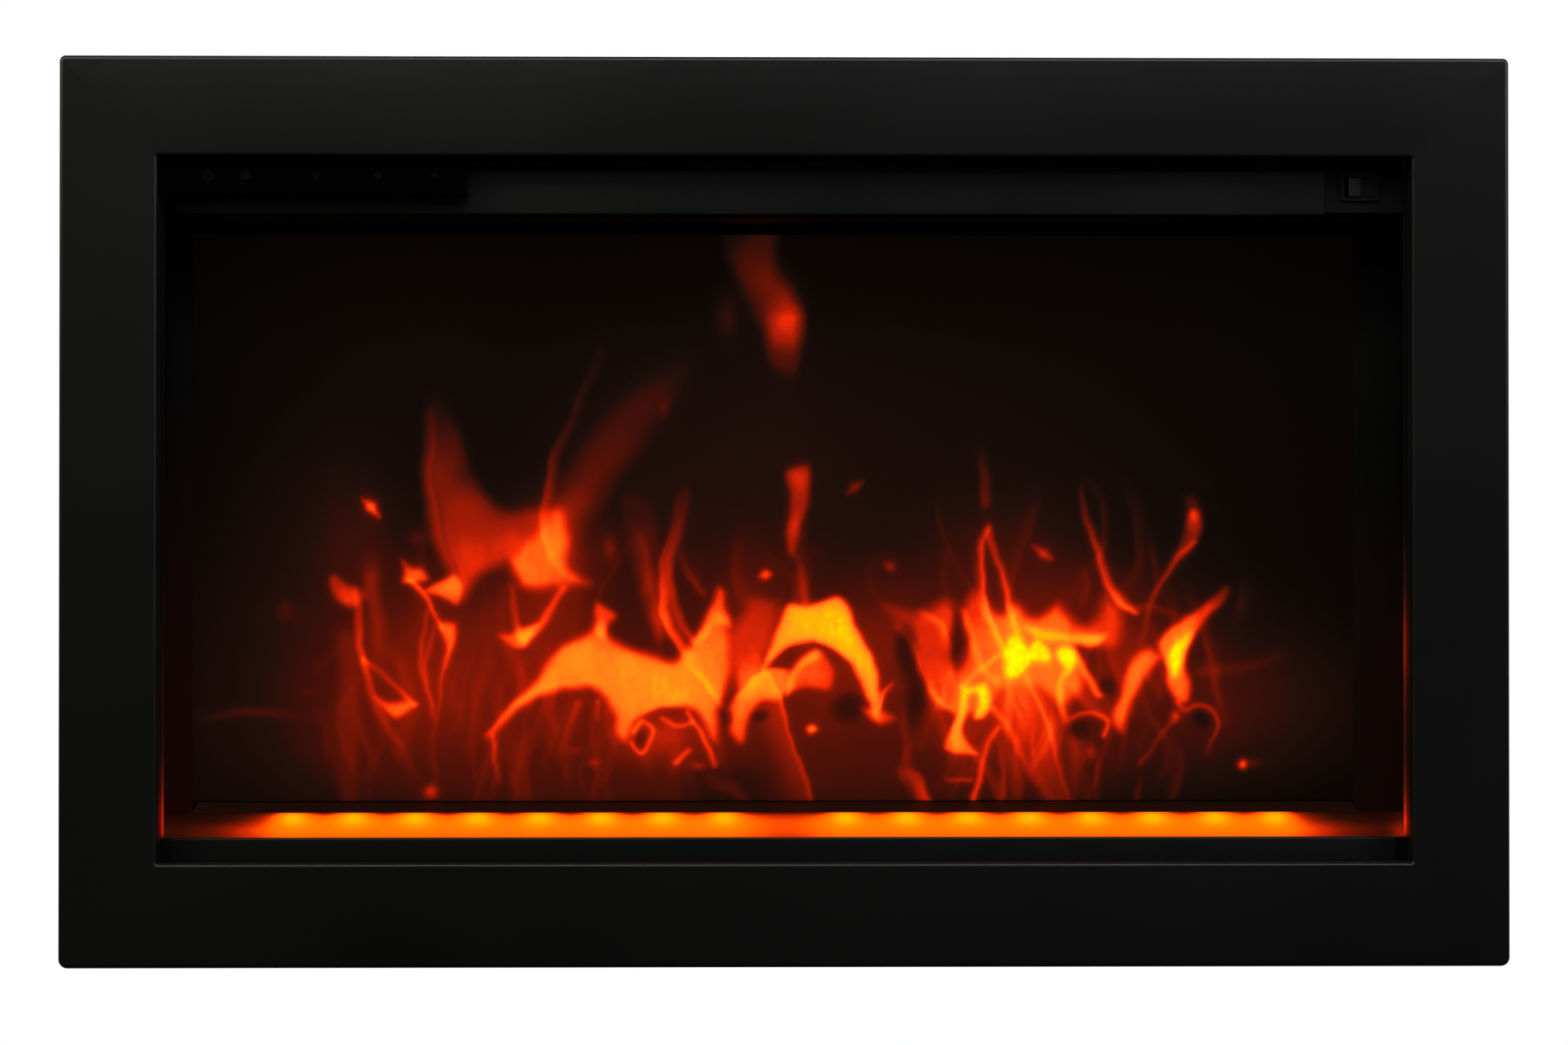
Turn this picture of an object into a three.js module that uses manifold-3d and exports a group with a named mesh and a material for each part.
// Electric fireplace insert: a steel casing for a wall opening, with a wide flat steel surround in front.
// A mirror-flag rotor throws LED light on a diffusing screen to make the flames, a second row of LEDs
// lights an ember strip along the bottom, and a cross-flow fan heater blows out of a slot above the glass.
//
// Units are millimetres and +Z is up. The front faces -Y, and +X is to the right seen from the front.
// Depths in this file are counted from the front plane of the surround, growing towards the back;
// the outer group moves everything so that the origin is the bottom centre of the whole object's box.
import * as THREE from "three";
import { mergeVertices } from "three/addons/utils/BufferGeometryUtils.js";
import Module from "manifold-3d";

const wasm = await Module();
wasm.setup();

// ---------------------------------------------------------------- driving dimensions
const SURROUND = { width: 968, height: 608, side: 64, top: 65, bottom: 67 };
const SURROUND_SHEET = 1.5; // sheet thickness of the surround
const SURROUND_BEND = 3; // outside bend radius of its folds
const OUTER_RETURN = 20; // depth of the folded outer edge, which stands on the wall
const INNER_RETURN = 25; // depth of the folded inner edge, which frames the window
const CORNER = { top: 4, bottom: 6, window: 1.5 }; // corner radii of the surround, seen from the front

const CASING = { width: 884, bottom: 44, top: 572, front: 26, depth: 211 };
const SHEET = 1; // casing sheet thickness
const GAP = 0.3; // clearance between pieces that touch
const BEYOND = 10; // how far a cutting tool reaches past what it cuts

const RAIL_FRONT = 20; // depth of the two rails' front faces
const DEFLECTOR = { left: -409, right: 363.5, bottom: 505.8, top: 534.6 };
const BOTTOM_RAIL = { left: -412, right: 411, bottom: 67.2, top: 84 };
const GLASS = { width: 872, bottom: 67, top: 512, front: 30, thickness: 4 };

const SCREEN = { left: -424, right: 424, bottom: 105.3, top: 500, front: 92, thickness: 3 };
const SCREEN_VIEW = { left: -407.5, right: 394, top: 498 }; // what the black frames leave open
const EMBER = { front: 38, frontHeight: 81, back: 58, backHeight: 99.5, thickness: 3, halfWidth: 424 };
const EMBER_LEDS = { perBoard: 8, pitch: 42, first: 41, height: 90, size: 5 };

const ROTOR = { depth: 150, height: 118, shaftRadius: 3, reach: 36, sets: 5, pitch: 150 };
const BLOWER = { depth: 120, height: 538, radius: 22, left: -60, right: 240, blades: 18 };

const WINDOW = {
  left: -SURROUND.width / 2 + SURROUND.side,
  right: SURROUND.width / 2 - SURROUND.side,
  bottom: SURROUND.bottom,
  top: SURROUND.height - SURROUND.top,
};
const INSIDE = CASING.width / 2 - SHEET; // half width between the casing's side sheets
const BACK = CASING.depth - SHEET - GAP; // depth where the sheets that meet the back panel end
const FLOOR = CASING.bottom + SHEET + GAP;
const CEILING = CASING.top - SHEET - GAP;

// ---------------------------------------------------------------- materials
function paint(color, roughness, metalness = 0) {
  return new THREE.MeshStandardMaterial({ color, roughness, metalness });
}
const FINISH = {
  surround: paint(0x1a1a19, 0.5),
  casing: paint(0x16171a, 0.55),
  rail: paint(0x1c1c1d, 0.5),
  glossBlack: paint(0x050505, 0.12),
  plastic: paint(0x0c0c0c, 0.6),
  zinc: paint(0xa9adb0, 0.4, 0.9),
  aluminium: paint(0xbfc2c4, 0.35, 0.9),
  mirrorFoil: paint(0xd9dde0, 0.08, 1),
  steel: paint(0x8f9396, 0.3, 1),
  board: paint(0x1f5a35, 0.5),
  whiteBoard: paint(0xe8e8e2, 0.5),
  copper: paint(0xa8592c, 0.35, 0.9),
  mica: paint(0xb9a277, 0.7),
  rubber: paint(0x0d0d0d, 0.9),
  screen: paint(0x2a1c14, 0.45),
  embers: paint(0xff7a12, 0.5),
  brass: paint(0xb9963f, 0.35, 0.9),
  glass: paint(0xcfd6d6, 0.03),
};
Object.assign(FINISH.glass, { transparent: true, opacity: 0.25 });

// ---------------------------------------------------------------- solids from three.js geometry
function solid(geometry) {
  const bare = geometry.index ? geometry.toNonIndexed() : geometry.clone();
  for (const name of ["normal", "uv"]) bare.deleteAttribute(name);
  const merged = mergeVertices(bare, 1e-4);
  const vertProperties = merged.attributes.position.array;
  const triVerts = new Uint32Array(merged.index.array);
  return new wasm.Manifold(new wasm.Mesh({ numProp: 3, vertProperties, triVerts }));
}

function geometryOf(body) {
  const mesh = body.getMesh();
  const geometry = new THREE.BufferGeometry();
  geometry.setAttribute("position", new THREE.BufferAttribute(mesh.vertProperties, 3));
  geometry.setIndex(new THREE.BufferAttribute(mesh.triVerts, 1));
  const flat = geometry.toNonIndexed();
  flat.computeVertexNormals();
  return flat;
}

const span = (a, b) => [Math.min(a, b), Math.max(a, b)];
const around = (middle, reach) => [middle - reach, middle + reach];
const join = (...bodies) => bodies.reduce((all, body) => all.add(body));
const cut = (body, ...tools) => tools.reduce((left, tool) => left.subtract(tool), body);

// A box between two values on each axis.
function block([x0, x1], [y0, y1], [z0, z1]) {
  const box = new THREE.BoxGeometry(x1 - x0, y1 - y0, z1 - z0);
  return solid(box.translate((x0 + x1) / 2, (y0 + y1) / 2, (z0 + z1) / 2));
}

// A round rod or disc along X, Y or Z between two values on that axis.
function rod(axis, radius, [from, to], [a, b], sides = 24) {
  const body = new THREE.CylinderGeometry(radius, radius, to - from, sides);
  const middle = (from + to) / 2;
  if (axis === "x") body.rotateZ(-Math.PI / 2).translate(middle, a, b);
  if (axis === "y") body.translate(a, middle, b);
  if (axis === "z") body.rotateX(Math.PI / 2).translate(a, b, middle);
  return solid(body);
}

function outline(points) {
  return new THREE.Shape(points.map(([a, b]) => new THREE.Vector2(a, b)));
}

// An outline drawn in (depth, height), pulled along X.
function alongX(points, [x0, x1]) {
  const body = new THREE.ExtrudeGeometry(outline(points), { depth: x1 - x0, bevelEnabled: false });
  const turn = new THREE.Matrix4().makeBasis(
    new THREE.Vector3(0, 1, 0),
    new THREE.Vector3(0, 0, 1),
    new THREE.Vector3(1, 0, 0),
  );
  return solid(body.applyMatrix4(turn).translate(x0, 0, 0));
}

// An outline drawn in (x, depth), pulled up along Z.
function alongZ(points, [z0, z1]) {
  const body = new THREE.ExtrudeGeometry(outline(points), { depth: z1 - z0, bevelEnabled: false });
  return solid(body.translate(0, 0, z0));
}

// A shape drawn in (x, height), pulled back along Y, with an optional rounded edge.
function alongY(shape, [y0, y1], options = {}) {
  const edge = options.bevelThickness ?? 0;
  const settings = { depth: y1 - y0 - 2 * edge, bevelEnabled: edge > 0, curveSegments: 3, ...options };
  const body = new THREE.ExtrudeGeometry(shape, settings);
  return solid(body.rotateX(Math.PI / 2).translate(0, y1 - edge, 0));
}

// A rounded rectangle, as a Shape or as a hole's Path.
function roundedRect(Kind, [left, right], [bottom, top], topRadius, bottomRadius = topRadius) {
  const path = new Kind();
  const quarter = Math.PI / 2;
  path.moveTo(left + bottomRadius, bottom);
  path.absarc(right - bottomRadius, bottom + bottomRadius, bottomRadius, -quarter, 0);
  path.absarc(right - topRadius, top - topRadius, topRadius, 0, quarter);
  path.absarc(left + topRadius, top - topRadius, topRadius, quarter, 2 * quarter);
  path.absarc(left + bottomRadius, bottom + bottomRadius, bottomRadius, 2 * quarter, 3 * quarter);
  path.closePath();
  return path;
}

// A sheet in the XZ plane with rounded slots through it.
function slottedSheet([x0, x1], [y0, y1], [z0, z1], slots, curveSegments = 2) {
  const shape = roundedRect(THREE.Shape, [x0, x1], [z0, z1], 1);
  for (const { x, z, length, height } of slots) {
    const across = [x - length / 2, x + length / 2];
    const up = [z - height / 2, z + height / 2];
    shape.holes.push(roundedRect(THREE.Path, across, up, height / 2 - 0.1));
  }
  return alongY(shape, [y0, y1], { curveSegments });
}

// ---------------------------------------------------------------- the tree of named pieces
const insert = new THREE.Group();
insert.position.y = -CASING.depth / 2;
const object = new THREE.Group();
object.add(insert);

function piece(name, body, material) {
  const mesh = new THREE.Mesh(geometryOf(body), material);
  mesh.name = name;
  insert.add(mesh);
  return mesh;
}

// ---------------------------------------------------------------- surround
// One folded sheet: a flat face with a round bend to a short return on the outside and inside edges.
function surroundShell(inset, bend) {
  const half = SURROUND.width / 2 - inset;
  const up = [inset, SURROUND.height - inset];
  const shape = roundedRect(THREE.Shape, [-half, half], up, CORNER.top, CORNER.bottom);
  const windowAcross = [WINDOW.left - inset, WINDOW.right + inset];
  const windowUp = [WINDOW.bottom - inset, WINDOW.top + inset];
  shape.holes.push(roundedRect(THREE.Path, windowAcross, windowUp, CORNER.window));
  const rounding = { bevelThickness: bend, bevelSize: bend, bevelOffset: -bend, bevelSegments: 3 };
  return alongY(shape, [inset, INNER_RETURN + 2 * bend + inset], { ...rounding, curveSegments: 2 });
}

function surround() {
  const shell = cut(
    surroundShell(0, SURROUND_BEND),
    surroundShell(SURROUND_SHEET, SURROUND_BEND - SURROUND_SHEET),
  );
  const across = around(0, SURROUND.width);
  const up = [-BEYOND, SURROUND.height + BEYOND];
  const behind = block(across, [INNER_RETURN, INNER_RETURN + 2 * BEYOND], up);
  const keep = 8; // the inner return stays full depth this far out from the window
  const inner = block(
    [WINDOW.left - keep, WINDOW.right + keep],
    [0, INNER_RETURN + 1],
    [WINDOW.bottom - keep, WINDOW.top + keep],
  );
  const outer = block(across, [OUTER_RETURN, INNER_RETURN + 1], up);
  return cut(shell, behind, cut(outer, inner));
}

const HANGER = { outer: 458, web: 442, inner: 427, sheet: 1.2, heights: [240, 370] };

// A Z-shaped strip that holds the surround's face to the casing's front flange.
function surroundHanger(side) {
  const { outer, web, inner, sheet, heights } = HANGER;
  const face = SURROUND_SHEET + GAP;
  const foot = CASING.front - GAP;
  const points = [
    [outer, face],
    [outer, face + sheet],
    [web + sheet, face + sheet],
    [web + sheet, foot],
    [inner, foot],
    [inner, foot - sheet],
    [web, foot - sheet],
    [web, face],
  ];
  return alongZ(points.map(([x, y]) => [side * x, y]), heights);
}

piece("trim_surround", surround(), FINISH.surround);
piece("trim_hanger_left", surroundHanger(-1), FINISH.zinc);
piece("trim_hanger_right", surroundHanger(1), FINISH.zinc);

// ---------------------------------------------------------------- casing
const JUNCTION = { front: 120, back: 186, bottom: 488, top: 552, depth: 28 };
const WIRE_HOLE = { depth: 152, height: 520, radius: 8 };
const FLANGE = { bottom: 66, top: 560, side: WINDOW.right + 1.8 }; // inner edges of the front flanges
// The tabs are bent out of the side sheets to lie on the wall's studs, and each leaves a window.
const TAB = { reach: 26, depth: [31.8, 33], heights: [170, 440], half: 25, relief: 0.8 };
const TAB_HOLE = { out: 16, radius: 2.5 };
const FAN_INTAKE = { banks: [-250, 250], rows: 5, bottom: 515, pitch: 9, slot: { length: 150, height: 4 } };
const FLOOR_INTAKE = { columns: [-170, 0, 170], height: 72, slot: { length: 90, height: 4 } };

// A side sheet with its front flange turned inwards and two tabs bent outwards for the wall studs.
function casingSide(side) {
  const outer = side * (CASING.width / 2);
  const inner = side * INSIDE;
  const flangeUp = [FLANGE.bottom + GAP, FLANGE.top - GAP];
  let body = join(
    block(span(outer, inner), [CASING.front, BACK], [FLOOR, CEILING]),
    block(span(inner, side * FLANGE.side), [CASING.front, CASING.front + SHEET], flangeUp),
  );
  const [tabFront, tabBack] = TAB.depth;
  const openFrom = tabBack + TAB.relief;
  for (const height of TAB.heights) {
    const tab = block(span(outer, outer + side * TAB.reach), TAB.depth, around(height, TAB.half));
    const at = [outer + side * TAB_HOLE.out, height];
    const screwHole = rod("y", TAB_HOLE.radius, [tabFront - 1, tabBack + 1], at, 12);
    const opening = block(
      span(outer + side, inner - side),
      [openFrom, openFrom + TAB.reach],
      around(height, TAB.half + 1),
    );
    body = cut(body.add(cut(tab, screwHole)), opening);
  }
  if (side < 0) return body;
  const wireAt = [WIRE_HOLE.depth, WIRE_HOLE.height];
  return cut(body, rod("x", WIRE_HOLE.radius, [inner - 2, outer + 2], wireAt, 20));
}

// The top or bottom sheet, with a front flange that fits between the side sheets.
function casingLevel(low, flangeUp) {
  const half = CASING.width / 2;
  return join(
    block([-half, half], [CASING.front, BACK], [low, low + SHEET]),
    block([-INSIDE + GAP, INSIDE - GAP], [CASING.front, CASING.front + SHEET], flangeUp),
  );
}

function casingBack() {
  const half = CASING.width / 2;
  const slots = [];
  for (const x of FAN_INTAKE.banks) {
    for (let row = 0; row < FAN_INTAKE.rows; row += 1) {
      slots.push({ x, z: FAN_INTAKE.bottom + row * FAN_INTAKE.pitch, ...FAN_INTAKE.slot });
    }
  }
  for (const x of FLOOR_INTAKE.columns) slots.push({ x, z: FLOOR_INTAKE.height, ...FLOOR_INTAKE.slot });
  const thickness = [CASING.depth - SHEET, CASING.depth];
  return slottedSheet([-half, half], thickness, [CASING.bottom, CASING.top], slots);
}

piece("casing_left", casingSide(-1), FINISH.casing);
piece("casing_right", casingSide(1), FINISH.casing);
piece("casing_top", casingLevel(CASING.top - SHEET, [FLANGE.top, CASING.top]), FINISH.casing);
piece("casing_bottom", casingLevel(CASING.bottom, [CASING.bottom, FLANGE.bottom]), FINISH.casing);
piece("casing_back", casingBack(), FINISH.casing);

// ---------------------------------------------------------------- rails, glass and its holders
const RAIL_SHEET = 1.2;
const CHANNEL = { lip: 426, glassEdge: 437, top: 516, wall: 2, play: 0.5 };
const REST = { halfLength: 424, under: 3, lip: 5, wall: 2.2 };

// The folded bar that turns the warm air forwards: a face with a short lip back at its top, and a foot.
function deflector() {
  const { left, right, bottom, top } = DEFLECTOR;
  const back = CASING.front + 1;
  const points = [
    [RAIL_FRONT, bottom + 1],
    [RAIL_FRONT, top - 1],
    [RAIL_FRONT + 1, top],
    [RAIL_FRONT + 2.2, top],
    [RAIL_FRONT + RAIL_SHEET, top - 1.5],
    [RAIL_FRONT + RAIL_SHEET, bottom + RAIL_SHEET],
    [back, bottom + RAIL_SHEET],
    [back, bottom],
    [RAIL_FRONT + 1, bottom],
  ];
  return alongX(points, [left, right]);
}

// The folded bar below the ember strip: a face and a ledge that runs back over the glass holder.
function bottomRail() {
  const { left, right, bottom, top } = BOTTOM_RAIL;
  const back = CASING.front + 1;
  const points = [
    [RAIL_FRONT, bottom],
    [RAIL_FRONT, top - RAIL_SHEET],
    [RAIL_FRONT + RAIL_SHEET, top],
    [back, top],
    [back, top - RAIL_SHEET],
    [RAIL_FRONT + RAIL_SHEET, top - RAIL_SHEET],
    [RAIL_FRONT + RAIL_SHEET, bottom],
  ];
  return alongX(points, [left, right]);
}

// A U-shaped strip down each side, which the glass slides into.
function glassChannel(side) {
  const { lip, glassEdge, top, wall, play } = CHANNEL;
  const web = INSIDE - GAP;
  const slotFront = GLASS.front - play;
  const slotBack = GLASS.front + GLASS.thickness + play;
  const points = [
    [web, CASING.front + SHEET + GAP],
    [lip, CASING.front + SHEET + GAP],
    [lip, slotFront],
    [glassEdge, slotFront],
    [glassEdge, slotBack],
    [lip, slotBack],
    [lip, slotBack + wall],
    [web, slotBack + wall],
  ];
  return alongZ(points.map(([x, y]) => [side * x, y]), [FLOOR + GAP, top]);
}

function glassRest() {
  const { front, thickness, bottom } = GLASS;
  const { halfLength, under, lip, wall } = REST;
  const back = front + thickness;
  const points = [
    [front - wall, bottom - under],
    [front - wall, bottom + lip],
    [front - GAP, bottom + lip],
    [front - GAP, bottom - GAP],
    [back + GAP, bottom - GAP],
    [back + GAP, bottom + lip],
    [back + wall, bottom + lip],
    [back + wall, bottom - under],
  ];
  return alongX(points, [-halfLength, halfLength]);
}

const glassDepth = [GLASS.front, GLASS.front + GLASS.thickness];
const glassAcross = [-GLASS.width / 2, GLASS.width / 2];
piece("top_deflector", deflector(), FINISH.rail);
piece("bottom_rail", bottomRail(), FINISH.rail);
piece("front_glass", block(glassAcross, glassDepth, [GLASS.bottom, GLASS.top]), FINISH.glass);
piece("glass_channel_left", glassChannel(-1), FINISH.rail);
piece("glass_channel_right", glassChannel(1), FINISH.rail);
piece("glass_rest_strip", glassRest(), FINISH.rubber);

// ---------------------------------------------------------------- screen and its frames
const FRAME = { front: SCREEN.front - 2.5, sheet: 1.8, foot: 14, top: 502.4 };

// A black upright that hides the screen's edge, with a foot against the casing's side sheet.
function screenFrame(side, viewEdge) {
  const { front, sheet, foot } = FRAME;
  const wall = INSIDE - GAP;
  const points = [
    [wall, front - foot],
    [wall, front + sheet],
    [viewEdge, front + sheet],
    [viewEdge, front],
    [wall - sheet, front],
    [wall - sheet, front - foot],
  ];
  return alongZ(points.map(([x, y]) => [side * x, y]), [FLOOR, SCREEN_VIEW.top - sheet]);
}

function screenTopRail() {
  const { front, sheet, top } = FRAME;
  return block([-INSIDE + GAP, INSIDE - GAP], [front, front + sheet], [SCREEN_VIEW.top - 1.5, top]);
}

const screenDepth = [SCREEN.front, SCREEN.front + SCREEN.thickness];
piece("screen_frame_left", screenFrame(-1, -SCREEN_VIEW.left), FINISH.plastic);
piece("screen_frame_right", screenFrame(1, SCREEN_VIEW.right), FINISH.plastic);
piece("screen_top_rail", screenTopRail(), FINISH.plastic);
piece(
  "flame_screen",
  block([SCREEN.left, SCREEN.right], screenDepth, [SCREEN.bottom, SCREEN.top]),
  FINISH.screen,
);

// ---------------------------------------------------------------- ember strip
const TRAY = { front: EMBER.back + 2.6, rear: SCREEN.front - 3.5, sheet: 1.2, drop: 0.6 };
const EMBER_BOARD = { front: 66, thickness: 1.6, inner: 20, margin: 22, below: 11, above: 5 };
const HOLDER = { front: 67.9, sheet: 1.5, bottom: 74, top: 95, back: 82, left: -400, right: 392 };

// The frosted strip leans back from the bottom rail, and the glossy tray behind it rises to the screen.
function emberDiffuser() {
  const { front, frontHeight, back, backHeight, thickness, halfWidth } = EMBER;
  const run = Math.hypot(back - front, backHeight - frontHeight);
  const inwards = ((backHeight - frontHeight) / run) * thickness;
  const down = ((back - front) / run) * thickness;
  const points = [
    [front, frontHeight],
    [back, backHeight],
    [back + inwards, backHeight - down],
    [front + inwards, frontHeight - down],
  ];
  return alongX(points, [-halfWidth, halfWidth]);
}

function emberTray() {
  const { front, rear, sheet, drop } = TRAY;
  const points = [
    [front, EMBER.backHeight + GAP],
    [rear, SCREEN.bottom - drop],
    [rear, FLOOR],
    [rear - sheet, FLOOR],
    [rear - sheet, SCREEN.bottom - drop - sheet],
    [front, EMBER.backHeight + GAP - sheet],
  ];
  return alongX(points, [SCREEN_VIEW.left + 4, SCREEN_VIEW.right - 2]);
}

// One board carries its LEDs in a row at the height where they shine through the strip's upper edge.
function emberBoard(side) {
  const { perBoard, pitch, first, height, size } = EMBER_LEDS;
  const { front, thickness, inner, margin, below, above } = EMBER_BOARD;
  const end = first + pitch * (perBoard - 1) + margin;
  const across = span(side * inner, side * end);
  let board = block(across, [front, front + thickness], [height - below, height + above]);
  for (let index = 0; index < perBoard; index += 1) {
    const x = side * (first + index * pitch);
    board = board.add(block(around(x, size / 2), [front - thickness, front + 0.5], around(height, size / 2)));
  }
  return board;
}

function emberHolder() {
  const { front, sheet, bottom, top, back, left, right } = HOLDER;
  const points = [
    [front, bottom],
    [front, top],
    [front + sheet, top],
    [front + sheet, FLOOR + sheet],
    [back, FLOOR + sheet],
    [back, FLOOR],
    [front, FLOOR],
  ];
  return alongX(points, [left, right]);
}

piece("ember_diffuser", emberDiffuser(), FINISH.embers);
piece("ember_tray", emberTray(), FINISH.glossBlack);
piece("ember_led_board_left", emberBoard(-1), FINISH.whiteBoard);
piece("ember_led_board_right", emberBoard(1), FINISH.whiteBoard);
piece("ember_led_holder", emberHolder(), FINISH.aluminium);

// ---------------------------------------------------------------- flame optics behind the screen
const CUTOUTS = { front: 104, back: 105, halfWidth: 424, top: 430, count: 9, pitch: 90, low: 118 };

// A steel sheet with flame-shaped cut-outs, which shapes the light before it meets the screen.
function flameCutouts() {
  const { front, back, halfWidth, top, count, pitch, low } = CUTOUTS;
  const shape = roundedRect(THREE.Shape, [-halfWidth, halfWidth], [FLOOR, top], 1);
  for (let index = 0; index < count; index += 1) {
    const x = (index - (count - 1) / 2) * pitch;
    const lean = index % 2 ? 14 : -12;
    const tip = low + 182 + 60 * Math.cos(index * 1.9); // tall and short tongues, in no regular order
    const flame = new THREE.Path();
    flame.moveTo(x - 18, low);
    flame.quadraticCurveTo(x - 44, low + 52, x - 14, low + 97);
    flame.quadraticCurveTo(x + 4, low + 132, x + lean, tip);
    flame.quadraticCurveTo(x + 26, low + 122, x + 20, low + 87);
    flame.quadraticCurveTo(x + 46, low + 47, x + 18, low);
    flame.closePath();
    shape.holes.push(flame);
  }
  return alongY(shape, [front, back], { curveSegments: 4 });
}

const FLAG = { sleeve: 5.2, root: 4.6, thick: 0.8, leaves: 4, leafPitch: 31, leafLength: 28, shift: -15 };
const FLAG_HALF = (FLAG.leaves * FLAG.leafPitch) / 2;
const ROTOR_MOTOR = { radius: 21, left: 404.2, right: 422, earThick: 1.2, earHalf: 28, spindle: 2.5 };
const MOTOR_PLATE = { left: 402.4, right: 403.9, foot: 426, halfDepth: 31, above: 28 };
const COUPLING = { radius: 7, left: 378, right: 399, shaftEnd: 388 };
const BUSH = { left: -420, shoulder: -414, right: -412, radius: 5, shoulderRadius: 8 };
const BUSH_PLATE = { left: -416, right: -414.5, foot: -436, halfDepth: 18, above: 16 };

// One set of the rotor: a sleeve with bent mirror leaves, each turned a quarter from the last.
function rotorFlag(set) {
  const { depth, height, shaftRadius, reach, sets, pitch } = ROTOR;
  const { sleeve, root, thick, leaves, leafPitch, leafLength, shift } = FLAG;
  const middle = (set - (sets - 1) / 2) * pitch + shift;
  let body = cut(
    rod("x", sleeve, around(middle, FLAG_HALF + 4), [0, 0], 16),
    rod("x", shaftRadius + GAP, around(middle, FLAG_HALF + 8), [0, 0], 16),
  );
  const steps = 6;
  const near = [];
  const far = [];
  for (let step = 0; step <= steps; step += 1) {
    const share = step / steps;
    const radius = root + (reach - root) * share;
    const bend = 0.75 * share * share; // the leaf curls over towards its tip
    near.push([radius * Math.cos(bend), radius * Math.sin(bend)]);
    far.unshift([radius * Math.cos(bend) - thick * Math.sin(bend), radius * Math.sin(bend) + thick]);
  }
  for (let leaf = 0; leaf < leaves; leaf += 1) {
    const start = middle - FLAG_HALF + leaf * leafPitch;
    const blade = alongX([...near, ...far], [start, start + leafLength]);
    body = body.add(blade.rotate([(leaf * 90 + set * 37) % 360, 0, 0]));
  }
  return body.translate([0, depth, height]);
}

// A round synchronous gear motor, held by its two ears to a bracket at the right-hand end.
function rotorMotor() {
  const { depth, height } = ROTOR;
  const { radius, left, right, earThick, earHalf, spindle } = ROTOR_MOTOR;
  const can = rod("x", radius, [left, right], [depth, height], 28);
  const boss = rod("x", 2 * spindle, [left - 3.7, left + 0.2], [depth, height], 20);
  const ears = block([left, left + earThick], around(depth, earHalf), around(height, 6));
  const pocket = rod("x", spindle + 0.4, [left - 5, left + 6], [depth, height], 16);
  return cut(join(can, boss, ears), pocket);
}

// An upright with a hole for a motor or bush, and a foot turned outwards on the casing's floor.
function shaftBracket({ left, right, foot, halfDepth, above }, holeRadius) {
  const { depth, height } = ROTOR;
  const beside = foot > right ? [right, foot] : [foot, left];
  const plate = join(
    block([left, right], around(depth, halfDepth), [FLOOR, height + above]),
    block(beside, around(depth, halfDepth), [FLOOR, FLOOR + right - left]),
  );
  return cut(plate, rod("x", holeRadius, [left - 2, right + 2], [depth, height], 20));
}

function rotorCoupling() {
  const { depth, height, shaftRadius } = ROTOR;
  const { radius, left, right, shaftEnd } = COUPLING;
  return cut(
    rod("x", radius, [left, right], [depth, height], 20),
    rod("x", shaftRadius + GAP, [left - 1, shaftEnd], [depth, height], 16),
    rod("x", ROTOR_MOTOR.spindle + GAP, [shaftEnd - 1, right + 1], [depth, height], 16),
  );
}

function rotorBush() {
  const { depth, height, shaftRadius } = ROTOR;
  const { left, shoulder, right, radius, shoulderRadius } = BUSH;
  const body = join(
    rod("x", radius, [left, right], [depth, height], 20),
    rod("x", shoulderRadius, [shoulder, right], [depth, height], 20),
  );
  return cut(body, rod("x", shaftRadius + GAP, [left - 1, right + 1], [depth, height], 16));
}

const FLAME_BOARD = { halfLength: 372, height: 60, thickness: 1.6, halfDepth: 20 };
const FLAME_LEDS = { count: 12, pitch: 62, half: 3.5 };
const CARRIER = { halfLength: 380, halfDepth: 21, sheet: 1.5, foot: 5 };

function flameLedBoard() {
  const { halfLength, height, thickness, halfDepth } = FLAME_BOARD;
  const { count, pitch, half } = FLAME_LEDS;
  const top = height + thickness;
  let board = block(around(0, halfLength), around(ROTOR.depth, halfDepth), [height, top]);
  for (let index = 0; index < count; index += 1) {
    const x = (index - (count - 1) / 2) * pitch;
    board = board.add(block(around(x, half), around(ROTOR.depth, half), [top - 0.6, top + 2]));
  }
  return board;
}

// A hat-shaped profile on the floor, which carries the flame LEDs under the rotor.
function flameLedCarrier() {
  const { halfLength, halfDepth, sheet, foot } = CARRIER;
  const top = FLAME_BOARD.height - GAP;
  const right = [
    [halfDepth, top],
    [halfDepth, FLOOR + sheet],
    [halfDepth + foot, FLOOR + sheet],
    [halfDepth + foot, FLOOR],
    [halfDepth - sheet, FLOOR],
    [halfDepth - sheet, top - sheet],
  ];
  const left = right.map(([across, up]) => [-across, up]).reverse();
  const profile = [...right, ...left].map(([across, up]) => [ROTOR.depth + across, up]);
  return alongX(profile, around(0, halfLength));
}

piece("flame_cutout_plate", flameCutouts(), FINISH.casing);
const axle = [ROTOR.depth, ROTOR.height];
piece("rotor_shaft", rod("x", ROTOR.shaftRadius, [-418, 386], axle, 16), FINISH.steel);
for (let set = 0; set < ROTOR.sets; set += 1) {
  piece(`rotor_flag_${set + 1}`, rotorFlag(set), FINISH.mirrorFoil);
}
piece("rotor_coupling", rotorCoupling(), FINISH.rubber);
piece("rotor_motor_spindle", rod("x", ROTOR_MOTOR.spindle, [388.5, 408.5], axle, 16), FINISH.steel);
piece("rotor_motor", rotorMotor(), FINISH.zinc);
piece("rotor_motor_bracket", shaftBracket(MOTOR_PLATE, 5.5), FINISH.zinc);
piece("rotor_bush", rotorBush(), FINISH.brass);
piece("rotor_bush_bracket", shaftBracket(BUSH_PLATE, 5.3), FINISH.zinc);
piece("flame_led_board", flameLedBoard(), FINISH.whiteBoard);
piece("flame_led_carrier", flameLedCarrier(), FINISH.aluminium);

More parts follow.
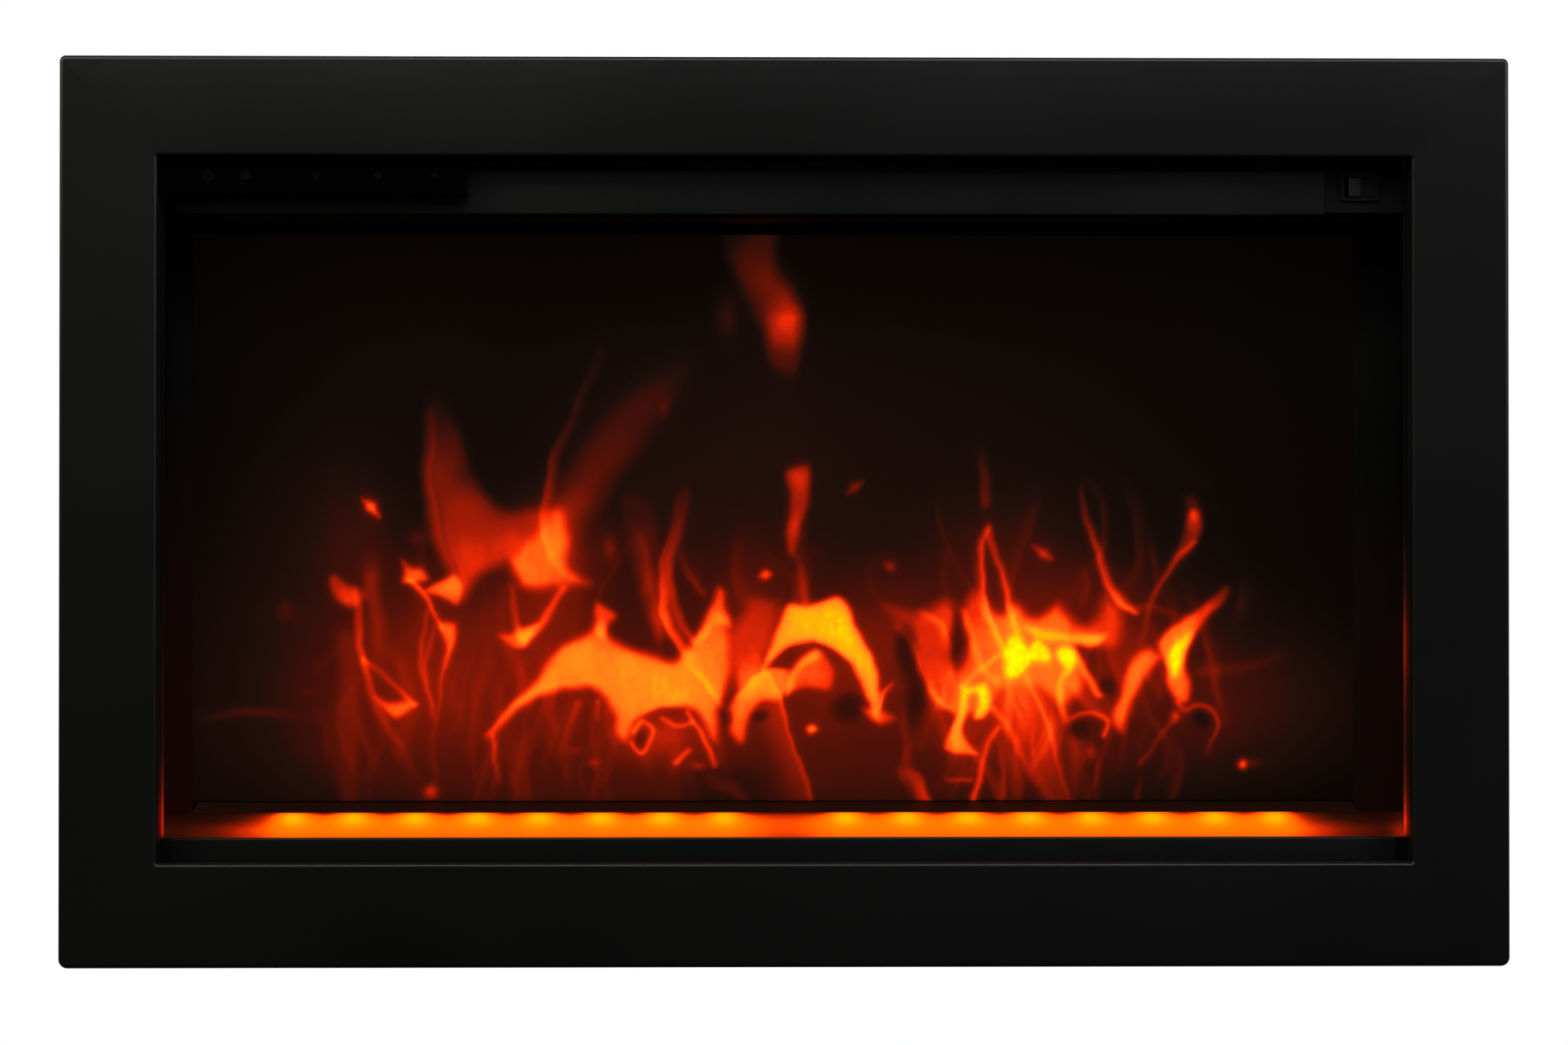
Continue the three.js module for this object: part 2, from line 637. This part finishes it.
// ---------------------------------------------------------------- fan heater above the glass
const SHELF = { bottom: 503, thickness: 1.2 };
const HOUSING = {
  radius: 26,
  thickness: 1,
  left: BLOWER.left - 3,
  right: BLOWER.right + 3,
  lip: 82, // depth of its front edge
  plate: 1.2, // thickness of its end plates
  intakes: { count: 6, first: 28, pitch: 50 },
};
const BLOWER_SHAFT = 2.5;
const BLOWER_BUSH = { radius: 3.6, shoulder: 7 };

// The fan's wrap: a half round wall open to the front, with intake slots, between two end plates.
function blowerHousing() {
  const { depth, height } = BLOWER;
  const { radius, thickness, left, right, lip, plate, intakes } = HOUSING;
  const inside = [];
  const outside = [];
  const steps = 14;
  for (let step = 0; step <= steps; step += 1) {
    const angle = -Math.PI / 2 + (Math.PI * step) / steps;
    const place = (r) => [depth + r * Math.cos(angle), height + r * Math.sin(angle)];
    inside.unshift(place(radius));
    outside.push(place(radius + thickness));
  }
  const outer = [
    [lip, height - radius - thickness],
    ...outside,
    [lip, height + radius + thickness],
  ];
  const wrap = alongX([...outer, [lip, height + radius], ...inside, [lip, height - radius]], [left, right]);
  let body = join(wrap, alongX(outer, [left - plate, left]), alongX(outer, [right, right + plate]));
  body = cut(body, rod("x", BLOWER_BUSH.radius + GAP, [left - 3, left + 2], [depth, height], 20));
  body = cut(body, rod("x", 9, [right - 2, right + 3], [depth, height], 20));
  for (let index = 0; index < intakes.count; index += 1) {
    const x = left + intakes.first + index * intakes.pitch;
    body = cut(body, block(around(x, 18), [depth + 12, depth + 40], around(height, 7)));
  }
  return body;
}

// The cross-flow wheel: curved blades between end discs, with a stub shaft out of each end.
function blowerWheel() {
  const { depth, height, radius, left, right, blades } = BLOWER;
  let wheel = join(
    rod("x", radius, [left, left + 1.5], [0, 0], 28),
    rod("x", radius, [right - 1.5, right], [0, 0], 28),
    rod("x", BLOWER_SHAFT, [left - 9, left + 1], [0, 0], 16),
    rod("x", BLOWER_SHAFT, [right - 1, right + 30], [0, 0], 16),
  );
  const chord = [
    [radius - 7, -1.4],
    [radius - 0.4, 1.2],
    [radius - 0.6, 2],
    [radius - 7.3, -0.6],
  ];
  const blade = alongX(chord, [left + 1, right - 1]);
  for (let index = 0; index < blades; index += 1) {
    wheel = wheel.add(blade.rotate([(index * 360) / blades, 0, 0]));
  }
  const middle = (left + right) / 2;
  const ring = cut(
    rod("x", radius, [middle - 0.6, middle + 0.6], [0, 0], 28),
    rod("x", radius - 7.6, [middle - 2, middle + 2], [0, 0], 28),
  );
  return wheel.add(ring).translate([0, depth, height]);
}

const MOTOR = { left: 250, right: 268, bore: 10.6, rotor: 10, front: -26, limb: 38, back: 50, half: 25 };

// The shaded-pole motor: a laminated frame with the rotor's bore, and a coil on its rear limb.
function blowerMotorCore() {
  const { depth, height } = BLOWER;
  const { left, right, bore, front, limb, back, half } = MOTOR;
  const frame = cut(
    block([left, right], [depth + front, depth + back], around(height, half)),
    block([left - 1, right + 1], [depth + limb - 20, depth + limb], around(height, half - 12)),
  );
  return cut(frame, rod("x", bore, [left - 1, right + 1], [depth, height], 28));
}

function blowerMotorCoil() {
  const { depth, height } = BLOWER;
  const { left, right, limb, back } = MOTOR;
  const outside = [depth + limb - 8, depth + back + 8];
  const sleeve = [depth + limb - GAP, depth + back + GAP];
  return cut(
    block([left - 7, right + 7], outside, around(height, 11)),
    block([left - GAP, right + GAP], sleeve, around(height, 12)),
  );
}

function blowerMotorRotor() {
  const { depth, height } = BLOWER;
  const { left, right, rotor } = MOTOR;
  return cut(
    rod("x", rotor, [left + 0.5, right - 0.5], [depth, height], 28),
    rod("x", BLOWER_SHAFT + GAP, [left - 1, right + 1], [depth, height], 16),
  );
}

function blowerBush() {
  const { depth, height, left } = BLOWER;
  const plateFace = HOUSING.left - HOUSING.plate;
  const body = join(
    rod("x", BLOWER_BUSH.radius, [plateFace - 2, HOUSING.left + 1], [depth, height], 20),
    rod("x", BLOWER_BUSH.shoulder, [plateFace - 3.5, plateFace - GAP], [depth, height], 20),
  );
  return cut(body, rod("x", BLOWER_SHAFT + GAP, [left - 12, left], [depth, height], 16));
}

const HEATER = { front: 53, back: 73, bottom: 513, top: 563, rim: 5.5, fins: 20, margin: 8 };
const GRILLE = { front: 37, back: 38.2, bottom: 505, top: 559, half: 335, columns: 9, pitch: 72 };
const GRILLE_SLOT = { rows: [521, 533, 545], size: { length: 60, height: 7 } };

// The heating element: a long finned core in an insulating frame, in front of the fan's mouth.
function heaterCore() {
  const { front, back, bottom, top, fins, margin } = HEATER;
  const left = BLOWER.left + margin;
  const right = BLOWER.right - margin;
  const pitch = (right - left) / fins;
  const body = [];
  for (let fin = 0; fin < fins; fin += 1) {
    const x = left + (fin + 0.5) * pitch;
    body.push(block(around(x, 0.6), [front + 4.5, back - 2], [bottom + 7, top - 7]));
  }
  const bars = [bottom + 13, top - 16].map((z) => block([left, right], [front + 9, front + 13], [z, z + 3]));
  return join(...body, ...bars);
}

function heaterFrame() {
  const { front, back, bottom, top, rim } = HEATER;
  const across = [BLOWER.left - 2, BLOWER.right + 2];
  const frame = cut(
    block(across, [front, back], [bottom, top]),
    block([across[0] + rim, across[1] - rim], [front - 3, back + 3], [bottom + rim, top - rim]),
  );
  const middle = (BLOWER.left + BLOWER.right) / 2;
  const guardDepth = [front, front + 3];
  const guards = [-50, 50].map((x) => block(around(middle + x, 2), guardDepth, [bottom + 1, top - 1]));
  return join(frame, ...guards);
}

function outletGrille() {
  const { front, back, bottom, top, half, columns, pitch } = GRILLE;
  const slots = [];
  for (let column = 0; column < columns; column += 1) {
    const x = (column - (columns - 1) / 2) * pitch;
    for (const z of GRILLE_SLOT.rows) slots.push({ x, z, ...GRILLE_SLOT.size });
  }
  return slottedSheet([-half, half], [front, back], [bottom, top], slots, 1);
}

// A bimetal disc with a pair of tabs, beside the heating element.
function thermalCutout() {
  const top = BLOWER.height + HOUSING.radius + HOUSING.thickness;
  const at = [BLOWER.left - 18, 92];
  const disc = rod("z", 8, [top - 17, top - 9], at, 20);
  const tabs = block(around(at[0], 6), around(at[1], 0.4), [top - 10, top - 2]);
  return disc.add(tabs);
}

const shelfDepth = [GLASS.front + GLASS.thickness + 3.4, BACK];
const shelfUp = [SHELF.bottom, SHELF.bottom + SHELF.thickness];
piece("heater_shelf", block(around(0, INSIDE - GAP), shelfDepth, shelfUp), FINISH.casing);
piece("blower_housing", blowerHousing(), FINISH.zinc);
piece("blower_wheel", blowerWheel(), FINISH.aluminium);
piece("blower_motor_rotor", blowerMotorRotor(), FINISH.steel);
piece("blower_motor_core", blowerMotorCore(), FINISH.steel);
piece("blower_motor_coil", blowerMotorCoil(), FINISH.copper);
piece("blower_bush", blowerBush(), FINISH.rubber);
piece("heater_core", heaterCore(), FINISH.aluminium);
piece("heater_frame", heaterFrame(), FINISH.mica);
piece("thermal_cutout", thermalCutout(), FINISH.plastic);
piece("outlet_grille", outletGrille(), FINISH.casing);

// ---------------------------------------------------------------- controls
const PANEL = { left: -418.3, right: -213.5, bottom: 516, top: 542.5, front: 8, back: 19.7, wall: 1.6 };

const BOARD = { left: -416, right: -296, front: 50, back: 156, bottom: 512, top: 513.6 };
const TOUCH = { keys: 5, first: 28, pitch: 37, half: 6, bottom: 523, top: 535 };
// The rocker's pivot, its travel, and the tilt it has at rest, switched on.
const ROCKER = { x: 387, pivot: 26, height: 523, tilt: 9, width: 18, tall: 12 };
const BEZEL = { left: DEFLECTOR.right + 0.6, right: 416.5, bottom: 506, top: 534, front: 21.6, back: 24 };
const SWITCH = { flange: [13, 9], barrel: [10.9, 7.5], pocket: [10.3, 6.6] }; // half width and half height

// The control board with its relay, transformer, capacitors, heat sink and connector row.
function mainBoard() {
  const { left, right, front, back, bottom, top } = BOARD;
  const part = (across, depths, tall) => block(across, depths, [top - 0.2, top + tall]);
  return join(
    block([left, right], [front, back], [bottom, top]),
    part([-400, -376], [60, 84], 18),
    part([-366, -330], [60, 96], 26),
    rod("z", 8, [top - 0.2, top + 24], [-392, 106], 18),
    rod("z", 5, [top - 0.2, top + 14], [-368, 112], 14),
    part([-352, -306], [108, 120], 12),
    part([-400, -340], [134, 146], 9),
  );
}

function switchBezel() {
  const { left, right, bottom, top, front, back } = BEZEL;
  const opening = [around(ROCKER.x, 11.2), [front - 2, back + 2], around(ROCKER.height, 7.8)];
  return cut(block([left, right], [front, back], [bottom, top]), block(...opening));
}

// The switch's housing, which snaps into the bezel, with its pocket for the key and two blade contacts.
function switchBody() {
  const { x, height, pivot } = ROCKER;
  const boxed = ([wide, tall], depths) => block(around(x, wide), depths, around(height, tall));
  const pivotHole = rod("z", 1.5, around(height, 8), [x, pivot], 8);
  const blades = [-6, 6].map((at) => block(around(x + at, 0.4), [39.8, 47], around(height, 3)));
  const housing = join(boxed(SWITCH.flange, [19.6, 21.3]), boxed(SWITCH.barrel, [21.2, 40]));
  return join(cut(housing, boxed(SWITCH.pocket, [15, 33]), pivotHole), ...blades);
}

// A shallow V-shaped key drawn about its pivot, then tilted to its "on" position.
function rocker() {
  const { x, pivot, height, tilt, width, tall } = ROCKER;
  const half = width / 2;
  const points = [
    [-half, -7.4],
    [0, -5.6],
    [half, -7.4],
    [half - 0.6, -1],
    [3, 4],
    [-3, 4],
    [-half + 0.6, -1],
  ];
  const stubs = rod("z", 1.1, around(0, tall / 2 + 1.2), [0, 0], 8);
  const key = join(alongZ(points, around(0, tall / 2)), stubs);
  return key.rotate([0, 0, tilt]).translate([x, pivot, height]);
}

// A gloss tray, open at the back, that the touch board is clipped into.
function controlPanel() {
  const { left, right, bottom, top, front, back, wall } = PANEL;
  return cut(
    block([left, right], [front, back], [bottom, top]),
    block([left + wall, right - wall], [front + 2, back + 1], [bottom + wall, top - wall]),
  );
}

// The board behind the touch panel: a sprung pad for each key, and the remote control's receiver.
function touchBoard() {
  const { left, right, bottom, top, front, wall } = PANEL;
  const edge = wall + GAP;
  const board = block([left + edge, right - edge], [front + 3.5, front + 5], [bottom + edge, top - edge]);
  const padDepth = [front + 2 + GAP, front + 4];
  const pads = [];
  for (let key = 0; key < TOUCH.keys; key += 1) {
    const x = left + TOUCH.first + key * TOUCH.pitch;
    pads.push(block(around(x, TOUCH.half), padDepth, [TOUCH.bottom, TOUCH.top]));
  }
  const receiver = block([right - 14, right - 7], padDepth, [526, 532]);
  return join(board, ...pads, receiver);
}

piece("control_panel", controlPanel(), FINISH.glossBlack);
piece("touch_board", touchBoard(), FINISH.board);
piece("main_board", mainBoard(), FINISH.board);
piece("switch_bezel", switchBezel(), FINISH.plastic);
piece("switch_body", switchBody(), FINISH.plastic);
piece("switch_rocker", rocker(), FINISH.plastic);

// ---------------------------------------------------------------- mains connection on the right side
const BOX_LEFT = CASING.width / 2 + GAP;
const BOX_WALL = 1.2;
const ENTRY = { radius: 10.1, bore: 7.2, across: [JUNCTION.depth / 2 + BOX_LEFT, 153] };

function junctionBox() {
  const { front, back, bottom, top, depth } = JUNCTION;
  const wireAt = [WIRE_HOLE.depth, WIRE_HOLE.height];
  const hollow = [BOX_LEFT + BOX_WALL, BOX_LEFT + depth + 1];
  return cut(
    block([BOX_LEFT, BOX_LEFT + depth], [front, back], [bottom, top]),
    block(hollow, [front + BOX_WALL, back - BOX_WALL], [bottom + BOX_WALL, top - BOX_WALL]),
    rod("x", WIRE_HOLE.radius, [BOX_LEFT - 1, BOX_LEFT + 3], wireAt, 20),
    rod("z", ENTRY.radius + 0.4, [bottom - 1, bottom + 3], ENTRY.across, 20),
  );
}

function junctionCover() {
  const { front, back, bottom, top, depth } = JUNCTION;
  const face = BOX_LEFT + depth + GAP;
  return block([face, face + BOX_WALL], [front - 1, back + 1], [bottom - 1, top + 1]);
}

// A threaded entry with a flange outside and a nut inside, held in the box's lower wall.
function cableClamp() {
  const { bottom } = JUNCTION;
  const { radius, bore, across } = ENTRY;
  const body = join(
    rod("z", radius, [bottom - 12, bottom + 7], across, 20),
    rod("z", 13, [bottom - 5, bottom - GAP], across, 6),
    rod("z", 12.6, [bottom + 1.5, bottom + 4.5], across, 6),
  );
  return cut(body, rod("z", bore, [bottom - 20, bottom + BEYOND], across, 20));
}

const TERMINALS = { front: 127, back: 142, bottom: 506, top: 546, depth: 14, rows: [512, 526, 540] };

function terminalBlock() {
  const { front, back, bottom, top, depth, rows } = TERMINALS;
  const x = BOX_LEFT + BOX_WALL + 0.4;
  const middle = (front + back) / 2;
  const screws = rows.map((z) => rod("x", 3, [x + 8, x + depth + 6], [middle, z], 12));
  return cut(block([x, x + depth], [front, back], [bottom, top]), ...screws);
}

// The wires from the main board to the terminal block, bundled and clipped along the back of the shelf.
function wiringLoom() {
  const route = [
    [-290, 168, 512],
    [-230, 188, 511],
    [0, 194, 511],
    [250, 194, 511],
    [380, 186, 514],
    [422, 158, 519],
    [436, WIRE_HOLE.depth, WIRE_HOLE.height],
    [460, WIRE_HOLE.depth, WIRE_HOLE.height],
  ].map(([x, y, z]) => new THREE.Vector3(x, y, z));
  const path = new THREE.CatmullRomCurve3(route, false, "centripetal");
  const round = new THREE.Shape().absarc(0, 0, 3.5, 0, Math.PI * 2);
  return solid(new THREE.ExtrudeGeometry(round, { steps: 40, extrudePath: path, curveSegments: 4 }));
}

piece("junction_box", junctionBox(), FINISH.zinc);
piece("junction_box_cover", junctionCover(), FINISH.zinc);
piece("cable_clamp", cableClamp(), FINISH.zinc);
piece("terminal_block", terminalBlock(), FINISH.plastic);
piece("wiring_loom", wiringLoom(), FINISH.rubber);

export default object;
